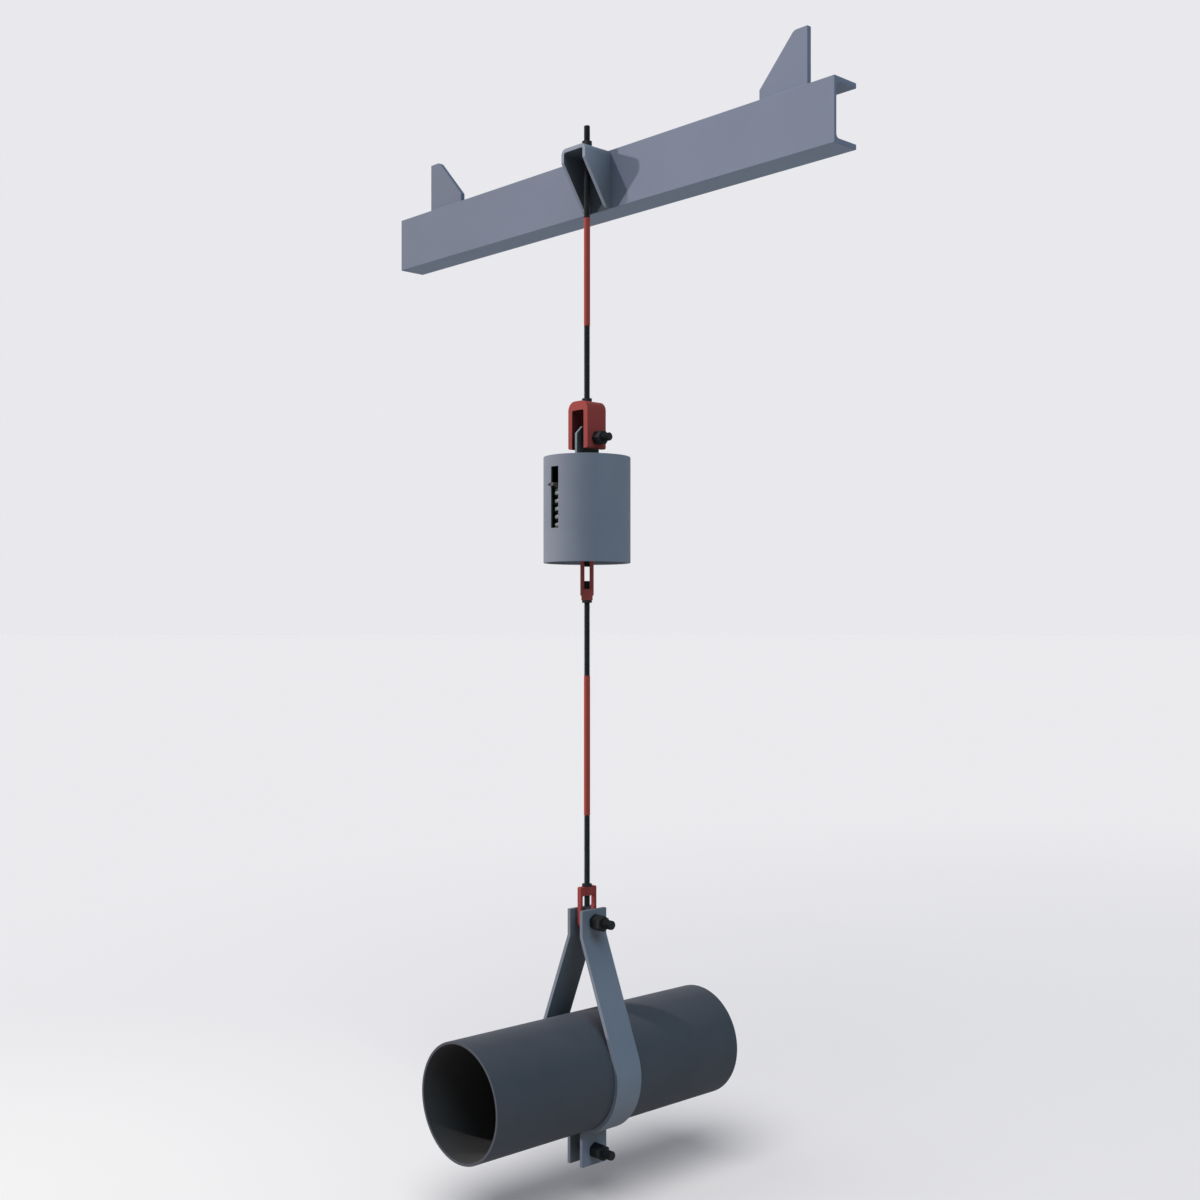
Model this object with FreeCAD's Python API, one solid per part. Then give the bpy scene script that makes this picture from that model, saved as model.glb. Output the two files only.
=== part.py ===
import FreeCAD
import Part
import math
import os

# Spring hanger for a horizontal pipe, hung under a short channel beam.
# Millimetres. X runs along the beam, Y along the pipe, Z up.
# The origin is on the pipe's axis, under the hanger rod.

Vec = FreeCAD.Vector

# Carried pipe
pipe_diameter = 219.1
pipe_wall = 5.0
pipe_length = 626.0

# Pipe clamp: two bent flat bars that meet on two bolts
clamp_seat_clearance = 0.15
clamp_width = 63.0
clamp_thickness = 8.0
ear_gap = 27.0
ear_bend_radius = 10.0
ear_edge_distance = 24.0
lower_ear_edge_distance = 28.0
upper_ear_below_bolt = 24.0
lower_bend_radius = 6.0
clamp_bolt_above_pipe = 177.0
clamp_bolt_below_pipe = 42.0
clamp_bolt_diameter = 18.0
clamp_bolt_flats = 27.0
clamp_nut_height = 27.0
clamp_head_height = 11.5
clamp_bolt_tail = 22.5
clamp_hole_clearance = 0.5

# Tie rods, all with the same thread
rod_diameter = 12.0
rod_nut_flats = 19.0
rod_nut_height = 10.0
rod_locknut_height = 5.0
rod_nut_angle = 16.7

# All threads
thread_relief = 0.1
thread_clearance = 0.05

# Eye nut on the clamp's upper bolt
eye_width = 41.0
eye_thickness = 10.0
eye_top_above_bolt = 66.0
eye_crown = 17.0
eye_leg = 5.0
eye_window_straight = 24.0
eye_corner_radius = 3.0
eye_boss_diameter = 19.0
eye_rod_tail = 22.0

# Lower tie rod
lower_rod_length = 628.8
lower_rod_lower_thread = 176.5
lower_rod_upper_thread = 182.8

# Turnbuckle
turnbuckle_diameter = 26.0
turnbuckle_depth = 18.0
turnbuckle_opening = 10.4
turnbuckle_bore = 13.0
turnbuckle_window = 85.4
turnbuckle_window_end_flat = 1.4
turnbuckle_lower_boss = 14.3
turnbuckle_upper_boss = 18.0
turnbuckle_neck = 7.0
turnbuckle_neck_flats = 19.0
turnbuckle_chamfer = 3.0
turnbuckle_angle = 45.0
turnbuckle_below_casing = 71.7
lower_rod_in_window = 15.8
load_rod_in_window = 41.9

# Spring casing
casing_diameter = 168.3
casing_wall = 4.5
casing_height = 203.8
casing_plate = 8.0
casing_fit = 0.1
casing_floor_recess = 7.0
casing_floor_hole = 38.0
slot_width = 20.0
slot_length = 116.7
slot_above_floor = 64.5

# Coil spring, closed and ground at both ends
spring_wire = 8.0
spring_outer_diameter = 132.0
spring_pitch = 15.2
spring_height = 129.0
spring_end_pitch = 8.3
spring_start_angle = 166.0
spring_runs_per_turn = 16
spring_wire_sides = 6

# Plate that stands on the spring and carries the load rod
plate_diameter = 150.0
plate_flange = 6.0
plate_hub = 6.0
plate_hub_clearance = 3.0
load_rod_above_nut = 2.0

# Travel pointer in the casing's slot
pointer_width = 8.0
pointer_height = 6.0
pointer_thickness = 2.0
pointer_reach = 16.0
pointer_gap = 1.85
pointer_screw_diameter = 4.0
pointer_screw_head = 6.0
pointer_screw_depth = 12.0

# Lug on the casing
lug_thickness = 6.0
lug_width = 58.0
lug_above_bolt = 24.5
lug_chamfer = 15.0
lug_corner_radius = 4.0
fork_bolt_above_casing = 35.2

# Fork on the upper tie rod
fork_width = 55.0
fork_depth = 48.4
fork_leg = 11.5
fork_crown = 17.7
fork_below_bolt = 19.5
fork_above_bolt = 72.1
fork_corner_radius = 18.0
fork_window_radius = 4.0
fork_foot_radius = 3.0
fork_bolt_diameter = 16.0
fork_bolt_flats = 24.0
fork_bolt_head = 10.0
fork_nut_height = 20.0
fork_bolt_tail = 16.5
fork_bolt_angle = 30.0
fork_hole_clearance = 0.5
fork_pin_clearance = 0.05
upper_rod_in_fork = 8.0
fork_locknut_height = 7.0

# Upper tie rod
upper_rod_length = 559.65
upper_rod_lower_thread = 172.95
upper_rod_upper_thread = 177.9
upper_rod_above_bracket = 46.6

# Seat of the upper rod: a ball washer in a cup washer
seat_radius = 17.0
seat_gap = 0.3
seat_centre_height = 16.3
cup_diameter = 26.0
ball_diameter = 23.0
ball_top = 6.4
ball_hole_clearance = 0.6
seat_hole = 16.0

# Bracket: a bent plate welded to the front of the beam
bracket_width = 67.8
bracket_reach = 36.4
bracket_thickness = 8.0
bracket_bend_radius = 4.0
bracket_front_edge = 27.0
bracket_foot = 12.0
bracket_foot_radius = 8.0

# Channel beam
beam_left = 654.7
beam_right = 572.8
beam_height = 113.5
beam_flange = 60.2
beam_web_thickness = 6.0
beam_flange_thickness = 9.5
beam_root_radius = 7.0
beam_face_offset = 32.5

# Gusset plates on the beam's top flange
gusset_left_inset = 74.5
gusset_right_inset = 80.1
gusset_width = 108.5
gusset_height = 113.5
gusset_top_width = 30.0
gusset_inner_edge = 29.5
gusset_thickness = 10.0
gusset_corner_radius = 14.0

# Heights, from the pipe's axis up to the beam
pipe_radius = pipe_diameter / 2
thread_radius = rod_diameter / 2 - thread_relief
tapped_radius = thread_radius + thread_clearance
clamp_bolt_z = pipe_radius + clamp_bolt_above_pipe
lower_clamp_bolt_z = -pipe_radius - clamp_bolt_below_pipe
eye_top_z = clamp_bolt_z + eye_top_above_bolt
eye_window_z = eye_top_z - eye_crown
lower_rod_z = eye_window_z - eye_rod_tail
lower_rod_top_z = lower_rod_z + lower_rod_length
window_floor_z = lower_rod_top_z - lower_rod_in_window
window_top_z = window_floor_z + turnbuckle_window
turnbuckle_z = window_floor_z - turnbuckle_lower_boss - turnbuckle_neck
turnbuckle_top_z = window_top_z + turnbuckle_upper_boss
load_rod_z = window_top_z - load_rod_in_window
casing_z = turnbuckle_z + turnbuckle_below_casing
casing_top_z = casing_z + casing_height
casing_floor_z = casing_z + casing_floor_recess
spring_z = casing_floor_z + casing_plate
plate_z = spring_z + spring_height
plate_top_z = plate_z + plate_flange
load_nut_top_z = plate_top_z + rod_nut_height
pointer_z = plate_z + plate_flange / 2
fork_bolt_z = casing_top_z + fork_bolt_above_casing
fork_z = fork_bolt_z - fork_below_bolt
fork_top_z = fork_bolt_z + fork_above_bolt
fork_window_z = fork_top_z - fork_crown
upper_rod_z = fork_window_z - upper_rod_in_fork
upper_rod_top_z = upper_rod_z + upper_rod_length
bracket_top_z = upper_rod_top_z - upper_rod_above_bracket
beam_z = bracket_top_z - beam_height
ear_face = ear_gap / 2
ear_outer = ear_face + clamp_thickness


def along_y(a, b):
    """Place a profile point in the X-Z plane, to be pushed along Y."""
    return Vec(a, 0, b)


def along_x(a, b):
    """Place a profile point in the Y-Z plane, to be pushed along X."""
    return Vec(0, a, b)


def arc(centre, radius, start, end, place):
    """Edge of a circular arc, with its angles in radians in the profile's plane."""
    points = []
    for angle in (start, (start + end) / 2, end):
        points.append(place(centre[0] + radius * math.cos(angle), centre[1] + radius * math.sin(angle)))
    return Part.Arc(*points).toShape()


def rounded_face(corners, place, same_point=1e-6):
    """Face with a corner at each (a, b, radius), where a radius of 0 is a sharp corner."""
    edges = []
    ends = []
    count = len(corners)
    for i in range(count):
        a, b, radius = corners[i]
        before = corners[i - 1]
        after = corners[(i + 1) % count]
        to_before = math.atan2(before[1] - b, before[0] - a)
        to_after = math.atan2(after[1] - b, after[0] - a)
        turn = (to_after - to_before + math.pi) % (2 * math.pi) - math.pi
        if radius == 0:
            ends.append(((a, b), (a, b), None))
            continue
        run = radius / math.tan(abs(turn) / 2)
        middle = to_before + turn / 2
        reach = radius / math.sin(abs(turn) / 2)
        first = (a + run * math.cos(to_before), b + run * math.sin(to_before))
        last = (a + run * math.cos(to_after), b + run * math.sin(to_after))
        crown = (a + (reach - radius) * math.cos(middle), b + (reach - radius) * math.sin(middle))
        ends.append((first, last, crown))
    for i in range(count):
        first, last, crown = ends[i]
        following = ends[(i + 1) % count][0]
        if crown:
            edges.append(Part.Arc(place(*first), place(*crown), place(*last)).toShape())
        if math.dist(last, following) > same_point:
            edges.append(Part.makeLine(place(*last), place(*following)))
    return Part.Face(Part.Wire(edges))


def cylinder(diameter, height, centre, axis=Vec(0, 0, 1)):
    """Round bar that starts at its centre point and runs along its axis."""
    return Part.makeCylinder(diameter / 2, height, centre, axis)


def chamfered_bar(radius, height, chamfer):
    """Round bar along Z from the origin, with both ends chamfered."""
    profile = [
        (0, 0, 0),
        (radius - chamfer, 0, 0),
        (radius, chamfer, 0),
        (radius, height - chamfer, 0),
        (radius - chamfer, height, 0),
        (0, height, 0),
    ]
    return rounded_face(profile, along_y).revolve(Vec(0, 0, 0), Vec(0, 0, 1), 360)


def hexagon_block(flats, height):
    """Hexagon bar along Z from the origin."""
    corner_radius = flats / math.sqrt(3)
    corners = []
    for i in range(6):
        angle = math.radians(60 * i)
        corners.append(Vec(corner_radius * math.cos(angle), corner_radius * math.sin(angle), 0))
    face = Part.Face(Part.makePolygon(corners + corners[:1]))
    return face.extrude(Vec(0, 0, height))


def nut(flats, height, bore_radius):
    """Hexagon nut along Z from the origin."""
    return hexagon_block(flats, height).cut(cylinder(2 * bore_radius, height, Vec(0, 0, 0)))


def bolt(diameter, flats, head, length):
    """Hexagon bolt along Z, its head under the origin and its shank above it."""
    block = hexagon_block(flats, head)
    block.translate(Vec(0, 0, -head))
    return block.fuse(cylinder(diameter, length, Vec(0, 0, 0))).removeSplitter()


def laid_along_x(shape, x, z):
    """Turn a piece that stands on the origin so that it points along +X from (x, 0, z)."""
    shape.rotate(Vec(0, 0, 0), Vec(0, 1, 0), 90)
    shape.translate(Vec(x, 0, z))
    return shape


def tie_rod(z, length, lower_thread, upper_thread):
    """Rod with a slightly thinner threaded stretch at each end."""
    threaded = cylinder(2 * thread_radius, length, Vec(0, 0, 0))
    shank = cylinder(rod_diameter, length - lower_thread - upper_thread, Vec(0, 0, lower_thread))
    rod = threaded.fuse(shank).removeSplitter()
    rod.translate(Vec(0, 0, z))
    return rod


def rod_nut(z, height):
    """Nut on a tie rod, standing on the height z."""
    piece = nut(rod_nut_flats, height, tapped_radius)
    piece.rotate(Vec(0, 0, 0), Vec(0, 0, 1), rod_nut_angle)
    piece.translate(Vec(0, 0, z))
    return piece


def make_pipe():
    """Straight length of steel tube along Y."""
    start = Vec(0, -pipe_length / 2, 0)
    outside = cylinder(pipe_diameter, pipe_length, start, Vec(0, 1, 0))
    return outside.cut(cylinder(pipe_diameter - 2 * pipe_wall, pipe_length, start, Vec(0, 1, 0)))


def make_clamp_half():
    """Bent flat bar: upper ear, strap slanting out to the pipe, curve round its side, lower ear."""
    seat = pipe_radius + clamp_seat_clearance
    ear_top = clamp_bolt_z + ear_edge_distance
    ear_bottom = lower_clamp_bolt_z - lower_ear_edge_distance
    bend_x = ear_outer + ear_bend_radius
    bend_z = clamp_bolt_z - upper_ear_below_bolt
    bend_distance = math.hypot(bend_x, bend_z)
    both_radii = seat + clamp_thickness + ear_bend_radius
    strap_angle = math.atan2(bend_z, bend_x) - math.acos(both_radii / bend_distance)
    low_x = ear_outer + lower_bend_radius
    low_z = -math.sqrt((seat + clamp_thickness + lower_bend_radius) ** 2 - low_x ** 2)
    low_angle = math.atan2(low_z, low_x)

    def side(depth):
        """Edges of one face of the bar, at a depth from the face that meets the pipe."""
        x = ear_face + depth
        bend = ear_bend_radius + clamp_thickness - depth
        around = seat + depth
        low = lower_bend_radius + clamp_thickness - depth
        bend_end = (bend_x - bend * math.cos(strap_angle), bend_z - bend * math.sin(strap_angle))
        strap_end = (around * math.cos(strap_angle), around * math.sin(strap_angle))
        return [
            Part.makeLine(Vec(x, 0, ear_top), Vec(x, 0, bend_z)),
            arc((bend_x, bend_z), bend, math.pi, math.pi + strap_angle, along_y),
            Part.makeLine(along_y(*bend_end), along_y(*strap_end)),
            arc((0, 0), around, strap_angle, low_angle, along_y),
            arc((low_x, low_z), low, low_angle + math.pi, math.pi, along_y),
            Part.makeLine(Vec(x, 0, low_z), Vec(x, 0, ear_bottom)),
        ]

    edges = side(0) + side(clamp_thickness)
    edges.append(Part.makeLine(Vec(ear_face, 0, ear_top), Vec(ear_outer, 0, ear_top)))
    edges.append(Part.makeLine(Vec(ear_face, 0, ear_bottom), Vec(ear_outer, 0, ear_bottom)))
    outline = Part.Wire(Part.__sortEdges__(edges))
    bar = Part.Face(outline).extrude(Vec(0, clamp_width, 0))
    bar.translate(Vec(0, -clamp_width / 2, 0))
    hole = clamp_bolt_diameter + 2 * clamp_hole_clearance
    for z in (clamp_bolt_z, lower_clamp_bolt_z):
        bar = bar.cut(cylinder(hole, ear_outer, Vec(ear_face / 2, 0, z), Vec(1, 0, 0)))
    return bar


def make_clamp_bolt(z):
    """Bolt through both ears, its head on the left."""
    length = 2 * ear_outer + clamp_nut_height + clamp_bolt_tail
    piece = bolt(clamp_bolt_diameter, clamp_bolt_flats, clamp_head_height, length)
    return laid_along_x(piece, -ear_outer, z)


def make_clamp_nut(z):
    """Nut on the right ear."""
    bore = clamp_bolt_diameter / 2 + thread_clearance
    return laid_along_x(nut(clamp_bolt_flats, clamp_nut_height, bore), ear_outer, z)


def make_eye_nut():
    """Forged loop that hangs the clamp bolt, with a round boss for the rod's thread."""
    half = eye_width / 2
    seat = clamp_bolt_diameter / 2 + thread_clearance
    opening = half - eye_leg
    shoulder_z = eye_window_z - eye_window_straight
    outline = [
        (-half, clamp_bolt_z, 0),
        (half, clamp_bolt_z, 0),
        (half, eye_top_z, eye_corner_radius),
        (-half, eye_top_z, eye_corner_radius),
    ]
    body = rounded_face(outline, along_x).extrude(Vec(eye_thickness, 0, 0))
    body = body.fuse(cylinder(eye_width, eye_thickness, Vec(0, 0, clamp_bolt_z), Vec(1, 0, 0)))

    # The window narrows from its shoulders, along tangents, to the round seat of the bolt
    rise = shoulder_z - clamp_bolt_z
    lean = math.atan2(rise, opening) - math.acos(seat / math.hypot(opening, rise))
    touch_y = seat * math.cos(lean)
    touch_z = clamp_bolt_z + seat * math.sin(lean)
    upper = [
        (-touch_y, touch_z, 0),
        (touch_y, touch_z, 0),
        (opening, shoulder_z, 0),
        (opening, eye_window_z, eye_corner_radius),
        (-opening, eye_window_z, eye_corner_radius),
        (-opening, shoulder_z, 0),
    ]
    window = rounded_face(upper, along_x).extrude(Vec(eye_thickness, 0, 0))
    window = window.fuse(cylinder(2 * seat, eye_thickness, Vec(0, 0, clamp_bolt_z), Vec(1, 0, 0)))
    body = body.cut(window)
    body.translate(Vec(-eye_thickness / 2, 0, 0))
    boss = cylinder(eye_boss_diameter, eye_crown, Vec(0, 0, eye_window_z))
    body = body.fuse(boss).removeSplitter()
    return body.cut(cylinder(2 * tapped_radius, eye_crown, Vec(0, 0, eye_window_z)))


def make_turnbuckle():
    """Round body with two flats and a long window, tapped at both ends, and a hexagon neck."""
    lower = turnbuckle_lower_boss
    height = turnbuckle_top_z - turnbuckle_z - turnbuckle_neck
    body = chamfered_bar(turnbuckle_diameter / 2, height, turnbuckle_chamfer)
    window_end = lower + turnbuckle_window
    half = turnbuckle_opening / 2
    radius = (turnbuckle_opening - turnbuckle_window_end_flat) / 2
    outline = [
        (-half, lower, radius),
        (half, lower, radius),
        (half, window_end, radius),
        (-half, window_end, radius),
    ]
    window = rounded_face(outline, along_y).extrude(Vec(0, turnbuckle_diameter, 0))
    window.translate(Vec(0, -turnbuckle_diameter / 2, 0))
    window = window.fuse(cylinder(turnbuckle_bore, turnbuckle_window, Vec(0, 0, lower)))
    body = body.cut(window)
    for side in (-1, 1):
        flat = Part.makeBox(turnbuckle_diameter, turnbuckle_diameter, turnbuckle_window)
        y = turnbuckle_depth / 2 if side > 0 else -turnbuckle_depth / 2 - turnbuckle_diameter
        flat.translate(Vec(-turnbuckle_diameter / 2, y, lower))
        body = body.cut(flat)
    neck = hexagon_block(turnbuckle_neck_flats, turnbuckle_neck + turnbuckle_chamfer)
    neck.translate(Vec(0, 0, -turnbuckle_neck))
    body = body.fuse(neck).removeSplitter()
    bore = cylinder(2 * tapped_radius, height + turnbuckle_neck, Vec(0, 0, -turnbuckle_neck))
    body = body.cut(bore)
    body.rotate(Vec(0, 0, 0), Vec(0, 0, 1), turnbuckle_angle)
    body.translate(Vec(0, 0, turnbuckle_z + turnbuckle_neck))
    return body


def make_casing_tube():
    """Spring casing with its travel slot, which faces along the pipe."""
    inside = casing_diameter - 2 * casing_wall
    tube = cylinder(casing_diameter, casing_height, Vec(0, 0, casing_z))
    tube = tube.cut(cylinder(inside, casing_height, Vec(0, 0, casing_z)))
    slot = Part.makeBox(slot_width, casing_diameter / 2, slot_length)
    slot.translate(Vec(-slot_width / 2, -casing_diameter / 2, casing_z + slot_above_floor))
    return tube.cut(slot)


def casing_disc(z):
    """End plate let into the casing tube."""
    return cylinder(casing_diameter - 2 * casing_wall - 2 * casing_fit, casing_plate, Vec(0, 0, z))


def make_bottom_plate():
    """End plate that the spring stands on, with a hole for the turnbuckle."""
    hole = cylinder(casing_floor_hole, casing_plate, Vec(0, 0, casing_floor_z))
    return casing_disc(casing_floor_z).cut(hole)


def make_lug():
    """Plate welded on edge to the casing's lid, drilled for the fork bolt."""
    half = lug_width / 2
    top = fork_bolt_z + lug_above_bolt
    profile = [
        (-half, casing_top_z, 0),
        (half, casing_top_z, 0),
        (half, top - lug_chamfer, lug_corner_radius),
        (half - lug_chamfer, top, lug_corner_radius),
        (lug_chamfer - half, top, lug_corner_radius),
        (-half, top - lug_chamfer, lug_corner_radius),
    ]
    lug = rounded_face(profile, along_x).extrude(Vec(lug_thickness, 0, 0))
    lug.translate(Vec(-lug_thickness / 2, 0, 0))
    hole = fork_bolt_diameter + 2 * fork_pin_clearance
    return lug.cut(cylinder(hole, lug_thickness, Vec(-lug_thickness / 2, 0, fork_bolt_z), Vec(1, 0, 0)))


def make_spring():
    """Coil spring: a close turn at each end, open turns between them, and both ends ground flat.

    The wire is six-sided and runs in short straight lengths, mitred where they meet.
    """
    radius = (spring_outer_diameter - spring_wire) / 2
    open_turns = (spring_height - 2 * spring_end_pitch) / spring_pitch
    count = round((open_turns + 2) * spring_runs_per_turn)
    turns = count / spring_runs_per_turn
    open_pitch = (spring_height - 2 * spring_end_pitch) / (turns - 2)
    centres = []
    for i in range(count + 1):
        turn = i / spring_runs_per_turn
        rise = spring_end_pitch * min(turn, 1)
        rise += open_pitch * min(max(turn - 1, 0), turns - 2)
        rise += spring_end_pitch * max(turn - turns + 1, 0)
        angle = 2 * math.pi * turn + math.radians(spring_start_angle)
        centres.append(Vec(radius * math.cos(angle), radius * math.sin(angle), spring_z + rise))
    along = (centres[1] - centres[0]).normalize()
    outward = along.cross(Vec(0, 0, 1)).normalize()
    upward = outward.cross(along)
    corner_radius = spring_wire / 2 / math.cos(math.pi / spring_wire_sides)
    corners = []
    for i in range(spring_wire_sides):
        angle = 2 * math.pi * (i + 0.5) / spring_wire_sides
        offset = outward * (corner_radius * math.cos(angle)) + upward * (corner_radius * math.sin(angle))
        corners.append(centres[0] + offset)
    section = Part.makePolygon(corners + corners[:1])
    wire = Part.makePolygon(centres).makePipeShell([section], True, False, 1)
    reach = spring_outer_diameter + 2 * spring_wire
    return wire.common(cylinder(reach, spring_height, Vec(0, 0, spring_z)))


def make_spring_plate():
    """Turned plate: a flange on the spring, a hub inside it, a hole for the load rod."""
    hub = spring_outer_diameter - 2 * spring_wire - 2 * plate_hub_clearance
    plate = cylinder(plate_diameter, plate_flange, Vec(0, 0, plate_z))
    plate = plate.fuse(cylinder(hub, plate_hub, Vec(0, 0, plate_z - plate_hub)))
    plate = plate.cut(cylinder(2 * tapped_radius, plate_hub + plate_flange, Vec(0, 0, plate_z - plate_hub)))
    hole_start = Vec(0, -plate_diameter / 2, pointer_z)
    tapped = pointer_screw_diameter + 2 * thread_clearance
    return plate.cut(cylinder(tapped, pointer_screw_depth, hole_start, Vec(0, 1, 0)))


def make_load_rod():
    """Threaded rod from the spring plate down into the turnbuckle."""
    length = load_nut_top_z + load_rod_above_nut - load_rod_z
    return cylinder(2 * thread_radius, length, Vec(0, 0, load_rod_z))


def make_pointer():
    """Stem through the slot, with an arrow that points along the casing's side."""
    face_y = -casing_diameter / 2 - pointer_gap
    half = pointer_height / 2
    stem_length = -plate_diameter / 2 - face_y
    stem = Part.makeBox(pointer_width, stem_length, pointer_height)
    stem.translate(Vec(-pointer_width / 2, face_y, pointer_z - half))
    right = pointer_width / 2
    shoulder = -pointer_reach + pointer_height
    outline = [
        (right, pointer_z - half, 0),
        (right, pointer_z + half, 0),
        (shoulder, pointer_z + half, 0),
        (-pointer_reach, pointer_z, 0),
        (shoulder, pointer_z - half, 0),
    ]
    arrow = rounded_face(outline, along_y).extrude(Vec(0, -pointer_thickness, 0))
    arrow.translate(Vec(0, face_y, 0))
    pointer = stem.fuse(arrow).removeSplitter()
    hole = pointer_screw_diameter + 2 * thread_clearance
    return pointer.cut(cylinder(hole, casing_diameter, Vec(0, -casing_diameter, pointer_z), Vec(0, 1, 0)))


def make_pointer_screw():
    """Screw that holds the pointer to the plate's edge."""
    face_y = -casing_diameter / 2 - pointer_gap - pointer_thickness
    head_height = pointer_thickness
    head = cylinder(pointer_screw_head, head_height, Vec(0, face_y - head_height, pointer_z), Vec(0, 1, 0))
    reach = pointer_screw_depth - plate_diameter / 2 - face_y
    return head.fuse(cylinder(pointer_screw_diameter, reach, Vec(0, face_y, pointer_z), Vec(0, 1, 0)))


def make_fork():
    """Round-shouldered fork, open along Y, tapped in its crown and cross-drilled for the bolt."""
    half = fork_width / 2
    inner = half - fork_leg
    outline = [
        (-half, fork_z, fork_foot_radius),
        (half, fork_z, fork_foot_radius),
        (half, fork_top_z, fork_corner_radius),
        (-half, fork_top_z, fork_corner_radius),
    ]
    opening = [
        (-inner, fork_z - fork_crown, 0),
        (inner, fork_z - fork_crown, 0),
        (inner, fork_window_z, fork_window_radius),
        (-inner, fork_window_z, fork_window_radius),
    ]
    fork = rounded_face(outline, along_y).extrude(Vec(0, fork_depth, 0))
    fork = fork.cut(rounded_face(opening, along_y).extrude(Vec(0, fork_depth, 0)))
    fork.translate(Vec(0, -fork_depth / 2, 0))
    fork = fork.cut(cylinder(2 * tapped_radius, fork_crown, Vec(0, 0, fork_window_z)))
    hole = fork_bolt_diameter + 2 * fork_hole_clearance
    return fork.cut(cylinder(hole, fork_width, Vec(-half, 0, fork_bolt_z), Vec(1, 0, 0)))


def make_fork_bolt():
    """Bolt through the fork and the lug, its head on the left."""
    length = fork_width + fork_nut_height + fork_bolt_tail
    piece = bolt(fork_bolt_diameter, fork_bolt_flats, fork_bolt_head, length)
    piece.rotate(Vec(0, 0, 0), Vec(0, 0, 1), fork_bolt_angle)
    return laid_along_x(piece, -fork_width / 2, fork_bolt_z)


def make_fork_nut():
    """Nut on the right leg of the fork."""
    piece = nut(fork_bolt_flats, fork_nut_height, fork_bolt_diameter / 2 + thread_clearance)
    piece.rotate(Vec(0, 0, 0), Vec(0, 0, 1), fork_bolt_angle)
    return laid_along_x(piece, fork_width / 2, fork_bolt_z)


def seat_height(radius):
    """Height of the ball's surface over the bracket, at a radius from the rod's axis."""
    return seat_centre_height - math.sqrt(seat_radius ** 2 - radius ** 2)


def turned(profile):
    """Round piece on the bracket, from its half section in radius and height over the bracket."""
    placed = [(radius, bracket_top_z + height, 0) for radius, height in profile]
    return rounded_face(placed, along_y).revolve(Vec(0, 0, 0), Vec(0, 0, 1), 360)


def make_cup_washer():
    """Washer on the bracket with a conical seat, which clears the ball by the seat's gap."""
    inner = seat_hole / 2
    outer = cup_diameter / 2
    touch = math.asin((inner + outer) / 2 / seat_radius)
    reach = (seat_radius + seat_gap) / math.cos(touch)
    low = seat_centre_height - reach + inner * math.tan(touch)
    high = seat_centre_height - reach + outer * math.tan(touch)
    return turned([(inner, 0), (outer, 0), (outer, high), (inner, low)])


def make_ball_washer():
    """Washer under the rod's nut, tapered below inside the ball's shape so that the rod can lean."""
    inner = thread_radius + ball_hole_clearance
    outer = ball_diameter / 2
    return turned([
        (inner, seat_height(inner)),
        (outer, seat_height(outer)),
        (outer, ball_top),
        (inner, ball_top),
    ])


def make_bracket():
    """Plate bent into an upside-down U, its cheeks cut back to the foot of the beam."""
    half = bracket_width / 2
    inner = half - bracket_thickness
    front = -bracket_reach
    back = beam_face_offset
    outer_radius = bracket_bend_radius + bracket_thickness
    outline = [
        (-half, beam_z, 0),
        (-half, bracket_top_z, outer_radius),
        (half, bracket_top_z, outer_radius),
        (half, beam_z, 0),
        (inner, beam_z, 0),
        (inner, bracket_top_z - bracket_thickness, bracket_bend_radius),
        (-inner, bracket_top_z - bracket_thickness, bracket_bend_radius),
        (-inner, beam_z, 0),
    ]
    bent = rounded_face(outline, along_y).extrude(Vec(0, back - front, 0))
    bent.translate(Vec(0, front, 0))
    cheek = [
        (front, bracket_top_z, 0),
        (front, bracket_top_z - bracket_front_edge, 0),
        (back - bracket_foot, beam_z, bracket_foot_radius),
        (back, beam_z, 0),
        (back, bracket_top_z, 0),
    ]
    side_view = rounded_face(cheek, along_x).extrude(Vec(bracket_width, 0, 0))
    side_view.translate(Vec(-half, 0, 0))
    bracket = bent.common(side_view)
    hole_start = Vec(0, 0, bracket_top_z - bracket_thickness)
    return bracket.cut(cylinder(seat_hole, bracket_thickness, hole_start))


def make_beam():
    """Channel with parallel flanges, its web towards the hanger."""
    front = beam_face_offset
    web_back = front + beam_web_thickness
    tips = front + beam_flange
    low = beam_z + beam_flange_thickness
    high = bracket_top_z - beam_flange_thickness
    section = [
        (front, beam_z, 0),
        (tips, beam_z, 0),
        (tips, low, 0),
        (web_back, low, beam_root_radius),
        (web_back, high, beam_root_radius),
        (tips, high, 0),
        (tips, bracket_top_z, 0),
        (front, bracket_top_z, 0),
    ]
    beam = rounded_face(section, along_x).extrude(Vec(beam_left + beam_right, 0, 0))
    beam.translate(Vec(-beam_left, 0, 0))
    return beam


def make_gusset(outer_x, inwards):
    """Plate on edge on the top flange: an upright outer side and a slanting inner side."""
    base = bracket_top_z
    inner_x = outer_x + inwards * gusset_width
    outline = [
        (outer_x, base, 0),
        (inner_x, base, 0),
        (inner_x, base + gusset_inner_edge, 0),
        (outer_x + inwards * gusset_top_width, base + gusset_height, gusset_corner_radius),
        (outer_x, base + gusset_height, 0),
    ]
    plate = rounded_face(outline, along_y).extrude(Vec(0, gusset_thickness, 0))
    middle = beam_face_offset + beam_flange / 2 + beam_web_thickness / 2
    plate.translate(Vec(0, middle - gusset_thickness / 2, 0))
    return plate


def mirrored(shape):
    """The same piece on the other side of the Y-Z plane."""
    return shape.mirror(Vec(0, 0, 0), Vec(1, 0, 0))


clamp_half = make_clamp_half()

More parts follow.
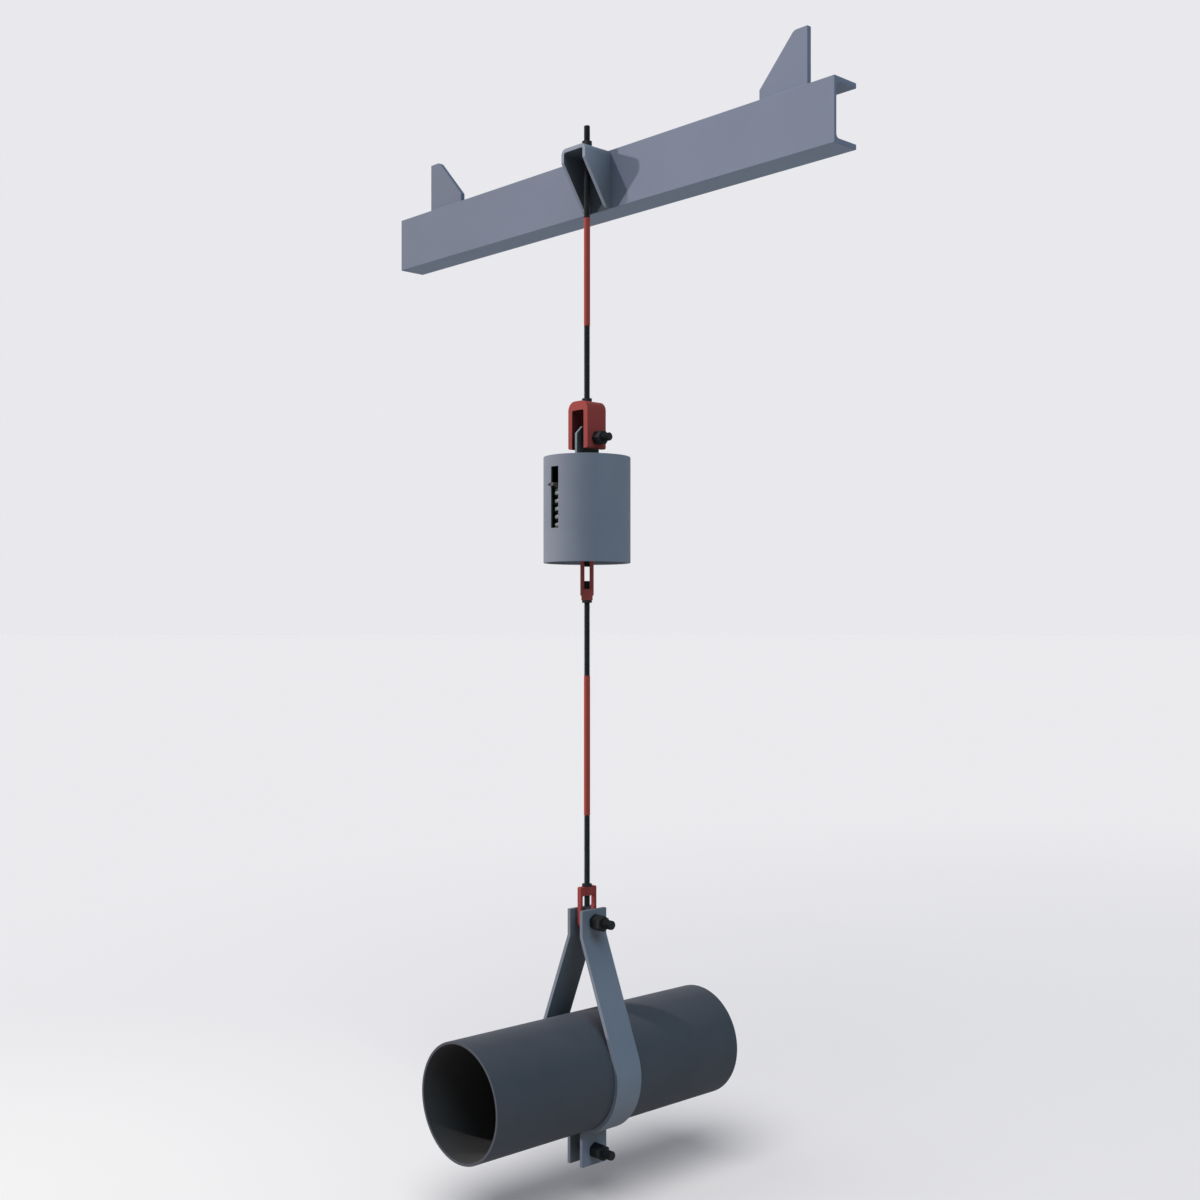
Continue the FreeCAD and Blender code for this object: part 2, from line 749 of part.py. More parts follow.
pieces = {
    "pipe_section": make_pipe(),
    "clamp_half_right": clamp_half,
    "clamp_half_left": mirrored(clamp_half),
    "clamp_upper_bolt": make_clamp_bolt(clamp_bolt_z),
    "clamp_upper_nut": make_clamp_nut(clamp_bolt_z),
    "clamp_lower_bolt": make_clamp_bolt(lower_clamp_bolt_z),
    "clamp_lower_nut": make_clamp_nut(lower_clamp_bolt_z),
    "eye_nut": make_eye_nut(),
    "eye_locknut": rod_nut(eye_top_z, rod_locknut_height),
    "lower_tie_rod": tie_rod(lower_rod_z, lower_rod_length, lower_rod_lower_thread, lower_rod_upper_thread),
    "turnbuckle_locknut": rod_nut(turnbuckle_z - rod_locknut_height, rod_locknut_height),
    "turnbuckle": make_turnbuckle(),
    "casing_tube": make_casing_tube(),
    "casing_top_plate": casing_disc(casing_top_z - casing_plate),
    "casing_bottom_plate": make_bottom_plate(),
    "casing_lug": make_lug(),
    "coil_spring": make_spring(),
    "spring_plate": make_spring_plate(),
    "load_rod": make_load_rod(),
    "load_nut": rod_nut(plate_top_z, rod_nut_height),
    "travel_pointer": make_pointer(),
    "pointer_screw": make_pointer_screw(),
    "fork": make_fork(),
    "fork_bolt": make_fork_bolt(),
    "fork_nut": make_fork_nut(),
    "fork_locknut": rod_nut(fork_top_z, fork_locknut_height),
    "upper_tie_rod": tie_rod(upper_rod_z, upper_rod_length, upper_rod_lower_thread, upper_rod_upper_thread),
    "top_nut": rod_nut(bracket_top_z + ball_top, rod_nut_height),
    "ball_washer": make_ball_washer(),
    "cup_washer": make_cup_washer(),
    "beam_bracket": make_bracket(),
    "channel_beam": make_beam(),
    "gusset_left": make_gusset(-beam_left + gusset_left_inset, 1),
    "gusset_right": make_gusset(beam_right - gusset_right_inset, -1),
}

os.makedirs("parts", exist_ok=True)
for name, shape in pieces.items():
    solid = shape.Solids[0] if len(shape.Solids) == 1 else shape
    if not solid.isValid() or len(shape.Solids) != 1:
        print("check", name, "valid", solid.isValid(), "solids", len(shape.Solids))
    solid.exportStep("parts/" + name + ".step")
    box = solid.BoundBox
    print(f"{name:20s} z {box.ZMin:8.1f} {box.ZMax:8.1f} volume {solid.Volume:12.1f}")
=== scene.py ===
import math

import bmesh
import bpy
from mathutils import Matrix, Vector


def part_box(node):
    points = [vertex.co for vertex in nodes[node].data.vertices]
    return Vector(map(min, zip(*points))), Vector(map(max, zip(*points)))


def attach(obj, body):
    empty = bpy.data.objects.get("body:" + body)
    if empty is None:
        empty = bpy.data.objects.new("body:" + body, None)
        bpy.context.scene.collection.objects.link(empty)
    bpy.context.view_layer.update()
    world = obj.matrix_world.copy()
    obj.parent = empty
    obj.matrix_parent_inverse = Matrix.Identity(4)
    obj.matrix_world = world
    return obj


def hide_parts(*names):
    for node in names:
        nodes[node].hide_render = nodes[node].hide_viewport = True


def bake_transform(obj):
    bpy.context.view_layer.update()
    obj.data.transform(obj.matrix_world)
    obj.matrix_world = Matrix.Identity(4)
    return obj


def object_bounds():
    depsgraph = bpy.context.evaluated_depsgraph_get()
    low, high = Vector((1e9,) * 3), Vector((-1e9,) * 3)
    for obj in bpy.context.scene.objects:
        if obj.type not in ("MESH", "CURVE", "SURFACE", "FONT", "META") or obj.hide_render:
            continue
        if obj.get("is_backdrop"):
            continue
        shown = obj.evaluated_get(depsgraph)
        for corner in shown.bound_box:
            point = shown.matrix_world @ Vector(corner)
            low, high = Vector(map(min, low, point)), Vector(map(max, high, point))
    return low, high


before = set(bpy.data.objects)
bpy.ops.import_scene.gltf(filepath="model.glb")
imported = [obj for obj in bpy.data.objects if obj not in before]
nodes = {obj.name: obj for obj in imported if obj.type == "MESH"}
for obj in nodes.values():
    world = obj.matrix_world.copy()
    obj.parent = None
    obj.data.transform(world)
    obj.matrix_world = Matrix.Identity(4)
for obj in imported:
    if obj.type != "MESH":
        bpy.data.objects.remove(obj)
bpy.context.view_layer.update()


# Channel beam, its two gusset plates and the rod bracket
# Hot-rolled channel and flame-cut plate, welded together and sprayed with one coat of
# matte blue-grey shop paint. The cut and rolled edges are slightly rounded under the paint.
def surface(name, colour, other_colour, roughness, grain, patches, relief, metallic=0.0, shine=0.2):
    """Material with patches between two colours, fine relief, and gloss that follows the relief."""
    cloud_detail, cloud_roughness, cloud_low, cloud_high = 4.0, 0.6, 0.35, 0.65
    peel_detail, relief_depth = 3.0, 0.0004
    made = bpy.data.materials.new(name)
    made.use_nodes = True
    tree = made.node_tree
    shader = tree.nodes["Principled BSDF"]
    place = tree.nodes.new("ShaderNodeTexCoord")
    cloud = tree.nodes.new("ShaderNodeTexNoise")
    cloud.inputs["Scale"].default_value = patches
    cloud.inputs["Detail"].default_value = cloud_detail
    cloud.inputs["Roughness"].default_value = cloud_roughness
    blend = tree.nodes.new("ShaderNodeMix")
    blend.data_type = "RGBA"
    blend.inputs["A"].default_value = (*colour, 1.0)
    blend.inputs["B"].default_value = (*other_colour, 1.0)
    spread = tree.nodes.new("ShaderNodeMapRange")
    spread.inputs["From Min"].default_value = cloud_low
    spread.inputs["From Max"].default_value = cloud_high
    gloss = tree.nodes.new("ShaderNodeMapRange")
    gloss.inputs["To Min"].default_value = roughness[0]
    gloss.inputs["To Max"].default_value = roughness[1]
    peel = tree.nodes.new("ShaderNodeTexNoise")
    peel.inputs["Scale"].default_value = grain
    peel.inputs["Detail"].default_value = peel_detail
    bump = tree.nodes.new("ShaderNodeBump")
    bump.inputs["Strength"].default_value = relief
    bump.inputs["Distance"].default_value = relief_depth
    wire = tree.links.new
    wire(place.outputs["Object"], cloud.inputs["Vector"])
    wire(place.outputs["Object"], peel.inputs["Vector"])
    wire(cloud.outputs["Fac"], spread.inputs["Value"])
    wire(spread.outputs["Result"], blend.inputs["Factor"])
    wire(blend.outputs["Result"], shader.inputs["Base Color"])
    wire(peel.outputs["Fac"], gloss.inputs["Value"])
    wire(gloss.outputs["Result"], shader.inputs["Roughness"])
    wire(peel.outputs["Fac"], bump.inputs["Height"])
    wire(bump.outputs["Normal"], shader.inputs["Normal"])
    shader.inputs["Metallic"].default_value = metallic
    shader.inputs["Specular IOR Level"].default_value = shine
    return made


def painted_shade_towards(material, start, end, share):
    """Painted shade: darkens a paint evenly from one point towards another."""
    run = Vector(end) - Vector(start)
    tree = material.node_tree
    shader = tree.nodes["Principled BSDF"]
    place = tree.nodes.new("ShaderNodeTexCoord")
    along = tree.nodes.new("ShaderNodeVectorMath")
    along.operation = "DOT_PRODUCT"
    along.inputs[1].default_value = run
    level = tree.nodes.new("ShaderNodeMapRange")
    level.inputs["From Min"].default_value = run.dot(Vector(start))
    level.inputs["From Max"].default_value = run.dot(Vector(end))
    level.inputs["To Min"].default_value = 1.0
    level.inputs["To Max"].default_value = share
    dim = tree.nodes.new("ShaderNodeVectorMath")
    dim.operation = "SCALE"
    wire = tree.links.new
    wire(place.outputs["Object"], along.inputs[0])
    wire(along.outputs["Value"], level.inputs["Value"])
    wire(shader.inputs["Base Color"].links[0].from_socket, dim.inputs[0])
    wire(level.outputs["Result"], dim.inputs["Scale"])
    wire(dim.outputs["Vector"], shader.inputs["Base Color"])


def finished(bm, name, materials, sharp=15.0):
    """Object from a bmesh, smooth where its faces meet at a slight angle."""
    mesh = bpy.data.meshes.new(name)
    bm.to_mesh(mesh)
    bm.free()
    mesh.shade_smooth()
    mesh.set_sharp_from_angle(angle=math.radians(sharp))
    for material in materials:
        mesh.materials.append(material)
    made = bpy.data.objects.new(name, mesh)
    bpy.context.scene.collection.objects.link(made)
    return made


def eased(node, body, materials, edge, coat=None, cuts=()):
    """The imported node's own shape with its sharp edges rounded.

    coat(centre, normal) gives a face's place in materials. cuts are planes, each a point and
    its normal, along which the faces are parted first, so that two coats can meet there.
    """
    same_point, edge_steps = 2e-6, 2
    still_flat, sharp_corner = math.radians(0.4), math.radians(40)
    bm = bmesh.new()
    bm.from_mesh(nodes[node].data)
    bmesh.ops.remove_doubles(bm, verts=bm.verts, dist=same_point)
    bmesh.ops.dissolve_limit(
        bm, angle_limit=still_flat, use_dissolve_boundaries=False, verts=bm.verts, edges=bm.edges,
    )
    inner_edges = [e for e in bm.edges if len(e.link_faces) == 2]
    bmesh.ops.bevel(
        bm, geom=[e for e in inner_edges if e.calc_face_angle() > sharp_corner], offset=edge,
        offset_type="OFFSET", segments=edge_steps, profile=0.5, affect="EDGES", material=-1,
        clamp_overlap=True,
    )
    for place, across in cuts:
        everything = bm.verts[:] + bm.edges[:] + bm.faces[:]
        bmesh.ops.bisect_plane(bm, geom=everything, plane_co=place, plane_no=across)
    for face in bm.faces:
        face.material_index = int(coat(face.calc_center_median(), face.normal)) if coat else 0
    made = finished(bm, node + ".eased", materials)
    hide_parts(node)
    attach(made, body)
    return made


grey_spray = {"roughness": (0.6, 0.74), "grain": 420.0, "patches": 7.0, "relief": 0.25}
beam_low, beam_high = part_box("channel_beam")
# Painted shade: the beam's and gussets' paint darkens towards the beam's left end, and the bracket's
# towards the web and downwards
beam_shade_start, gusset_span, bracket_shade_fall = 0.3 * beam_high.x, 0.7, 0.3
grey_paint = surface(
    "blue_grey_paint", (0.164, 0.204, 0.289), (0.172, 0.213, 0.300), **grey_spray
)
painted_shade_towards(grey_paint, (beam_shade_start, 0, 0), (beam_low.x, 0, 0), share=0.86)
gusset_paint = surface(
    "gusset_paint", (0.165, 0.205, 0.289), (0.173, 0.214, 0.300), **grey_spray
)
painted_shade_towards(
    gusset_paint, (gusset_span * beam_high.x, 0, 0), (gusset_span * beam_low.x, 0, 0), share=0.80
)
# Painted light: a paler paint on the beam's underside stands for light thrown up from the floor
underside_painted_light = surface(
    "underside_painted_light", (0.212, 0.273, 0.390), (0.222, 0.284, 0.403), **grey_spray
)
bracket_paint = surface(
    "bracket_paint", (0.256, 0.293, 0.366), (0.269, 0.307, 0.381), **grey_spray
)
# Painted light: the bracket's front edges keep an even, lit paint without the painted shade
bracket_lit_edge_paint = surface(
    "bracket_lit_edge_paint", (0.240, 0.282, 0.370), (0.252, 0.295, 0.384), **grey_spray
)
# Painted shade: a dark paint between the bracket's cheeks and on the web behind the bracket
painted_shade_coat = surface(
    "dark_painted_shade", (0.073, 0.095, 0.127), (0.083, 0.107, 0.140),
    roughness=(0.7, 0.8), grain=420.0, patches=12.0, relief=0.3, shine=0.1,
)
bracket_low, bracket_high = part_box("beam_bracket")
bracket_thickness = 0.008
bracket_inner = bracket_high.x - bracket_thickness
bracket_shade_height = bracket_high.z - bracket_shade_fall * (bracket_high.y - bracket_low.y)
painted_shade_towards(
    bracket_paint, (0, bracket_low.y, bracket_high.z), (0, bracket_high.y, bracket_shade_height),
    share=0.40,
)
# Share of a face's normal that lies along an axis
partly, mostly, nearly_all = 0.3, 0.5, 0.9


def faces_middle(centre, normal):
    """Whether a face looks across the hanger, towards the plane through its rods."""
    past_zero = 1e-4
    return centre.x * normal.x < -past_zero


def bracket_coat(centre, normal):
    """Painted shade between the bracket's cheeks, and painted light, an even lit coat, on the front
    edges.
    """
    past_inner = 0.0005
    if abs(centre.x) < bracket_inner + past_inner:
        if faces_middle(centre, normal) or normal.z < -mostly:
            return 1
    return 2 if normal.y < -partly else 0


def beam_coat(centre, normal):
    """Painted shade on the web behind the bracket, and painted light, a paler coat, on the underside.
    """
    off_web = 0.002
    behind_bracket = abs(centre.x) < bracket_inner and abs(centre.y - bracket_high.y) < off_web
    if behind_bracket and normal.y < -nearly_all:
        return 1
    return 2 if normal.z < -mostly else 0


flame_cut_edge, rolled_edge = 0.0006, 0.0012
for part in ("gusset_left", "gusset_right"):
    eased(part, "support_beam", [gusset_paint], flame_cut_edge)
eased(
    "channel_beam", "support_beam", [grey_paint, painted_shade_coat, underside_painted_light],
    rolled_edge, coat=beam_coat,
    cuts=[((side * bracket_inner, 0, 0), (1, 0, 0)) for side in (-1, 1)],
)
eased(
    "beam_bracket", "support_beam", [bracket_paint, painted_shade_coat, bracket_lit_edge_paint],
    flame_cut_edge, coat=bracket_coat,
)


# Tie rods
# Drawn round bar, M12 threads rolled at both ends. The plain shank is painted a dull red,
# and the threads are left black from the rolling oil and oxide.
def ringed(bm, rings, count, closed=False):
    """Turned piece in an empty bmesh: one loop for each ring, which gives radius and height."""
    start = bmesh.ops.create_circle(bm, cap_ends=False, segments=count, radius=1.0)["verts"]
    first = last = bm.edges[:]
    for number, ring in enumerate(rings):
        if number:
            grown = bmesh.ops.extrude_edge_only(bm, edges=last)["geom"]
            start = [g for g in grown if isinstance(g, bmesh.types.BMVert)]
            fresh = set(start)
            grown_edges = [g for g in grown if isinstance(g, bmesh.types.BMEdge)]
            last = [e for e in grown_edges if set(e.verts) <= fresh]
        for v in start:
            angle = math.atan2(v.co.y, v.co.x)
            radius, height = ring(angle)
            v.co = (radius * math.cos(angle), radius * math.sin(angle), height)
    if closed:
        bmesh.ops.bridge_loops(bm, edges=first + last)
    else:
        bmesh.ops.holes_fill(bm, edges=first, sides=0)
        bmesh.ops.holes_fill(bm, edges=last, sides=0)


def circle(radius, height):
    """Ring of one radius, for ringed()."""
    return lambda angle: (radius, height)


def cut_flat(bm, height, side):
    """Cuts off what is above a height, or below it where side is -1, and closes the cut."""
    everything = bm.verts[:] + bm.edges[:] + bm.faces[:]
    cut = bmesh.ops.bisect_plane(
        bm, geom=everything, plane_co=(0, 0, height), plane_no=(0, 0, side), clear_outer=True,
    )["geom_cut"]
    rim = [g for g in cut if isinstance(g, bmesh.types.BMEdge)]
    bmesh.ops.holes_fill(bm, edges=rim, sides=0)


def threaded(bm, radius, pitch, low, high, low_tip=False, high_tip=False):
    """Rolled thread from one height to the other, cut flat, with a lead-in cone at a tip."""
    steps, same_point = 24, pitch / 100
    thread_depth, tip_depth = 0.61 * pitch, 0.45 * pitch
    root, tip = radius - thread_depth, radius - tip_depth
    crest_from, crest_to, root_from = 0.31, 0.44, 0.75
    outline = [(root, 0.0), (radius, crest_from), (radius, crest_to), (root, root_from), (root, 1.0)]
    bar = bmesh.new()
    strip = [bar.verts.new((r, 0.0, low - pitch + z * pitch)) for r, z in outline]
    edges = [bar.edges.new(pair) for pair in zip(strip, strip[1:])]
    bmesh.ops.spin(
        bar, geom=strip + edges, cent=(0, 0, 0), axis=(0, 0, 1), dvec=(0, 0, pitch / steps),
        angle=2 * math.pi, steps=steps, use_merge=False, use_normal_flip=False,
    )
    turns = 1
    while turns * pitch < high - low + 2 * pitch:
        everything = bar.verts[:] + bar.edges[:] + bar.faces[:]
        copied = bmesh.ops.duplicate(bar, geom=everything)["geom"]
        moved = [g for g in copied if isinstance(g, bmesh.types.BMVert)]
        bmesh.ops.translate(bar, vec=(0, 0, turns * pitch), verts=moved)
        turns *= 2
    bmesh.ops.remove_doubles(bar, verts=bar.verts, dist=same_point)
    cut_flat(bar, low, -1)
    cut_flat(bar, high, 1)
    for v in bar.verts:
        around = math.hypot(v.co.x, v.co.y)
        limit = radius
        if low_tip:
            limit = min(limit, tip + (v.co.z - low))
        if high_tip:
            limit = min(limit, tip + (high - v.co.z))
        if around > limit:
            v.co.x *= limit / around
            v.co.y *= limit / around
    bmesh.ops.recalc_face_normals(bar, faces=bar.faces)
    loose = bpy.data.meshes.new("loose")
    bar.to_mesh(loose)
    bar.free()
    before = len(bm.faces)
    bm.from_mesh(loose)
    bpy.data.meshes.remove(loose)
    bm.faces.ensure_lookup_table()
    return bm.faces[before:]


red_spray = {"roughness": (0.6, 0.74), "grain": 500.0, "patches": 14.0, "relief": 0.2, "shine": 0.1}
oxide = {"roughness": (0.5, 0.65), "grain": 900.0, "patches": 40.0, "relief": 0.15, "metallic": 0.1}
red_paint = surface(
    "rod_red_paint", (0.345, 0.0615, 0.0505), (0.368, 0.0660, 0.0540), **red_spray
)
black_steel = surface(
    "black_oxide", (0.0180, 0.0212, 0.0245), (0.0255, 0.030, 0.0345), **oxide
)
rod_radius, rod_pitch = 0.0059, 0.00175
shank_radius, shank_sides = 0.006, 32
# The painted shank ends in a short cone that runs just under the thread
end_radius, end_past, shank_short = rod_radius - 0.0010, 0.0005, 0.0008
for part, body, lower_thread, upper_thread in (
    ("upper_tie_rod", "upper_rod", 0.17295, 0.1779),
    ("lower_tie_rod", "lower_rod", 0.1765, 0.1828),
):
    low, high = (corner.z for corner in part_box(part))
    painted_from, painted_to = low + lower_thread, high - upper_thread
    bm = bmesh.new()
    ringed(bm, [
        circle(end_radius, painted_from - end_past), circle(shank_radius, painted_from + shank_short),
        circle(shank_radius, painted_to - shank_short), circle(end_radius, painted_to + end_past),
    ], shank_sides)
    bmesh.ops.recalc_face_normals(bm, faces=bm.faces)
    for ends in ((low, painted_from, True, False), (painted_to, high, False, True)):
        for face in threaded(bm, rod_radius, rod_pitch, *ends):
            face.material_index = 1
    rod = finished(bm, part + ".threaded", [red_paint, black_steel], sharp=25.0)
    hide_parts(part)
    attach(rod, body)


# Nuts and bolts
# Cold-formed hexagons with their corners turned off at 30 degrees, blackened all over. The
# bolts are threaded only as far as their nuts need.
bolt_steel = surface(
    "bolt_black", (0.0100, 0.0120, 0.0132), (0.0155, 0.0180, 0.0198), shine=0.15, **oxide
)
corner_slope, face_inset, turned_sides = math.tan(math.radians(30)), 0.0003, 48


def hexagon(flats, height, slope=0.0):
    """Ring that follows a hexagon, set back along the axis where its corners are turned off."""
    def ring(angle):
        radius = flats / 2 / math.cos(angle % (math.pi / 3) - math.pi / 6)
        return radius, height + slope * max(0.0, radius - flats / 2 + face_inset)
    return ring


def nut(node, body, flats, low, high, bore, laid):
    """Blackened nut with a countersunk bore, made upright between two heights and then laid."""
    face, countersink = flats / 2 - face_inset, 0.0008
    bm = bmesh.new()
    ringed(bm, [
        circle(bore + countersink, low), circle(face, low),
        hexagon(flats, low, corner_slope), hexagon(flats, high, -corner_slope),
        circle(face, high), circle(bore + countersink, high),
        circle(bore, high - countersink), circle(bore, low + countersink),
    ], turned_sides, closed=True)
    bmesh.ops.recalc_face_normals(bm, faces=bm.faces)
    bmesh.ops.transform(bm, matrix=laid, verts=bm.verts)
    piece = finished(bm, node + ".turned", [bolt_steel], sharp=20.0)
    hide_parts(node)
    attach(piece, body)


rod_nut_flats, rod_nut_bore = 0.019, 0.0053
rod_nut_turn = Matrix.Rotation(math.radians(16.7), 4, "Z")
for part, body in (
    ("top_nut", "upper_rod"), ("fork_locknut", "upper_rod"), ("load_nut", "load_carrier"),
    ("turnbuckle_locknut", "lower_rod"), ("eye_locknut", "lower_rod"),
):
    low, high = (corner.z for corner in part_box(part))
    nut(part, body, rod_nut_flats, low, high, rod_nut_bore, rod_nut_turn)

along_beam = Matrix.Rotation(math.radians(90), 4, "Y")
thread_before_nut, shank_end_before, shank_end_after = 0.004, 0.001, 0.0005
shank_end_depth, thread_play, nut_bore_depth = 0.0017, 0.0001, 0.0010
for bolt_node, nut_node, body, radius, pitch, flats, head, turn in (
    ("clamp_upper_bolt", "clamp_upper_nut", "pipe_clamp", 0.009, 0.0025, 0.027, 0.0115, 0),
    ("clamp_lower_bolt", "clamp_lower_nut", "pipe_clamp", 0.009, 0.0025, 0.027, 0.0115, 0),
    ("fork_bolt", "fork_nut", "upper_rod", 0.008, 0.002, 0.024, 0.010, 30),
):
    bolt_low, bolt_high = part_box(bolt_node)
    nut_low, nut_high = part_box(nut_node)
    on_axis = Matrix.Translation((0, 0, (bolt_low.z + bolt_high.z) / 2))
    laid = on_axis @ along_beam @ Matrix.Rotation(math.radians(turn), 4, "Z")
    head_top, head_seat = bolt_low.x, bolt_low.x + head
    thread_from = nut_low.x - thread_before_nut
    bm = bmesh.new()
    ringed(bm, [
        circle(flats / 2 - face_inset, head_top), hexagon(flats, head_top, corner_slope),
        hexagon(flats, head_seat), circle(radius, head_seat),
        circle(radius, thread_from - shank_end_before),
        circle(radius - shank_end_depth, thread_from + shank_end_after),
    ], turned_sides)
    bmesh.ops.recalc_face_normals(bm, faces=bm.faces)
    threaded(bm, radius - thread_play, pitch, thread_from, bolt_high.x, high_tip=True)
    bmesh.ops.transform(bm, matrix=laid, verts=bm.verts)
    bolt = finished(bm, bolt_node + ".threaded", [bolt_steel], sharp=25.0)
    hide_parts(bolt_node)
    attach(bolt, body)
    nut(nut_node, body, flats, nut_low.x, nut_high.x, radius - nut_bore_depth, laid)


# Seat washers under the top nut, spring plate, and travel pointer with its screw
# The washers are turned and blackened like the nuts. The plate is turned and left bright under
# a film of oil, and a screw holds the pointer to it, cut from sheet and painted nearly black.
bare_steel = surface(
    "turned_steel", (0.30, 0.31, 0.32), (0.36, 0.37, 0.38),
    roughness=(0.3, 0.45), grain=1200.0, patches=60.0, relief=0.1, metallic=0.9,
)
dark_steel = surface(
    "oiled_dark_steel", (0.055, 0.058, 0.063), (0.075, 0.078, 0.083),
    roughness=(0.45, 0.6), grain=1200.0, patches=60.0, relief=0.1, metallic=0.3,
)
pointer_paint = surface(
    "pointer_paint", (0.022, 0.023, 0.0235), (0.027, 0.028, 0.0285),
    roughness=(0.65, 0.75), grain=900.0, patches=60.0, relief=0.1, shine=0.1,
)
for part, finish in (
    ("ball_washer", bolt_steel), ("cup_washer", bolt_steel), ("spring_plate", bare_steel),
    ("pointer_screw", dark_steel), ("travel_pointer", pointer_paint),
):
    nodes[part].data.materials.clear()
    nodes[part].data.materials.append(finish)


# Fork, turnbuckle and eye nut
# Drop-forged steel, machined only at the threads and the bolts' holes, and painted the same
# dull red as the rods. The dies leave the fork's edges well rounded.
forging_paint = surface(
    "forging_red_paint", (0.305, 0.0570, 0.0525), (0.325, 0.0615, 0.0560), **red_spray
)
# Painted shade: a dark red for the faces between the fork's legs
fork_gap_shade = surface(
    "red_painted_shade", (0.088, 0.015, 0.017), (0.104, 0.018, 0.020),
    roughness=(0.65, 0.78), grain=500.0, patches=14.0, relief=0.2, shine=0.1,
)
turnbuckle_paint = surface(
    "turnbuckle_red_paint", (0.325, 0.080, 0.076), (0.347, 0.086, 0.082), **red_spray
)
eye_paint = surface(
    "eye_nut_red_paint", (0.262, 0.047, 0.045), (0.282, 0.051, 0.049), **red_spray
)
fork_half_gap, fork_edge, turnbuckle_edge, eye_edge = 0.0135, 0.0022, 0.0006, 0.0010


def inside_fork(centre, normal):
    """Faces between the fork's legs, which get the dark red of painted shade."""
    under_bridge = normal.z < -mostly and abs(centre.x) < fork_half_gap
    return faces_middle(centre, normal) or under_bridge


eased("fork", "upper_rod", [forging_paint, fork_gap_shade], fork_edge, coat=inside_fork)
turnbuckle = eased(
    "turnbuckle", "turnbuckle_body", [turnbuckle_paint], turnbuckle_edge
)
eased("eye_nut", "lower_rod", [eye_paint], eye_edge)


# Spring casing with its lid, floor and lug
# Welded tube with two plates let into its ends, painted blue-grey in a slightly paler batch
# than the beam. The tube's inside and the slot's cut walls carry painted shade. The lug on the
# lid has painted shade on both sides, between the fork's legs, and plain paint on its edges.
casing_paint = surface(
    "casing_paint", (0.185, 0.22, 0.285), (0.205, 0.24, 0.305), **grey_spray
)
# Painted shade: dark paint inside the tube and on the slot's cut walls
casing_painted_shade = surface(
    "casing_painted_shade", (0.026, 0.033, 0.043), (0.034, 0.042, 0.053),
    roughness=(0.65, 0.78), grain=420.0, patches=12.0, relief=0.25, shine=0.1,
)
lug_edge_paint = surface(
    "lug_paint", (0.160, 0.204, 0.240), (0.175, 0.220, 0.256),
    roughness=(0.6, 0.7), grain=700.0, patches=20.0, relief=0.2,
)
# Painted shade: dark paint on the lug's sides, which face the fork's legs
lug_side_shade = surface(
    "lug_side_painted_shade", (0.042, 0.058, 0.056), (0.050, 0.067, 0.065),
    roughness=(0.6, 0.75), grain=500.0, patches=20.0, relief=0.2, shine=0.1,
)
under_floor, casing_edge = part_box("casing_bottom_plate")[0].z, 0.0006


def casing_coat(centre, normal):
    """Painted shade on the tube's inside above its floor, and on the slot's cut walls."""
    outward = Vector((centre.x, centre.y, 0)).normalized().dot(normal)
    return abs(normal.z) < mostly and outward < mostly and centre.z > under_floor


eased(
    "casing_tube", "casing", [casing_paint, casing_painted_shade], casing_edge,
    coat=casing_coat, cuts=[((0, 0, under_floor), (0, 0, 1))],
)
for part in ("casing_top_plate", "casing_bottom_plate"):
    eased(part, "casing", [casing_paint], casing_edge)
# The lug's sides get the painted shade, its edges the plain paint
eased(
    "casing_lug", "casing", [lug_edge_paint, lug_side_shade], casing_edge,
    coat=lambda centre, normal: abs(normal.x) > nearly_all,
)


# Coil spring
# Round wire wound cold, its end turns closed and ground flat, with a light grey coating.
# It is held between the casing's floor and the spring plate, and shortens with the load.
spring_coat = surface(
    "spring_coating", (0.32, 0.35, 0.345), (0.37, 0.40, 0.39),
    roughness=(0.4, 0.5), grain=700.0, patches=30.0, relief=0.15,
)
wire_radius, coil_radius, end_rise, open_pitch = 0.004, 0.062, 0.0083, 0.0152
steps, part_turns, wire_end, same_point = 32, 16, math.radians(166), 1e-6
spring_low, spring_high = (corner.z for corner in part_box("coil_spring"))
open_height = spring_high - spring_low - 2 * end_rise
open_turns = round(open_height / open_pitch * part_turns) / part_turns
line = bpy.data.curves.new("coil_line", "CURVE")
line.dimensions = "3D"
line.bevel_depth = wire_radius
line.bevel_resolution = 3
line.use_fill_caps = True
spline = line.splines.new("POLY")
spline.points.add(int((open_turns + 2) * steps))
for number, point in enumerate(spline.points):
    turn = number / steps
    rise = end_rise * min(turn, 1) + open_height / open_turns * min(max(turn - 1, 0), open_turns)
    rise += end_rise * max(turn - open_turns - 1, 0)
    angle = 2 * math.pi * turn + wire_end
    point.co = (coil_radius * math.cos(angle), coil_radius * math.sin(angle), spring_low + rise, 1)
coil = bpy.data.objects.new("coil_line", line)
bpy.context.scene.collection.objects.link(coil)
bpy.context.view_layer.update()
settled = coil.evaluated_get(bpy.context.evaluated_depsgraph_get())
wound = bpy.data.meshes.new_from_object(settled)
bpy.data.objects.remove(coil)
bm = bmesh.new()
bm.from_mesh(wound)
bmesh.ops.remove_doubles(bm, verts=bm.verts, dist=same_point)
cut_flat(bm, spring_low, -1)
cut_flat(bm, spring_high, 1)
bmesh.ops.recalc_face_normals(bm, faces=bm.faces)
spring = finished(bm, "coil_spring.wound", [spring_coat], sharp=50.0)
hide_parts("coil_spring")
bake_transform(spring)


# Load rod
# Fully threaded black bar that screws through the spring plate, where a nut locks it, and
# down into the turnbuckle.
low, high = (corner.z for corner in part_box("load_rod"))
bm = bmesh.new()
threaded(bm, rod_radius, rod_pitch, low, high, low_tip=True, high_tip=True)
load_rod = finished(bm, "load_rod.threaded", [black_steel], sharp=25.0)
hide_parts("load_rod")
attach(load_rod, "load_carrier")


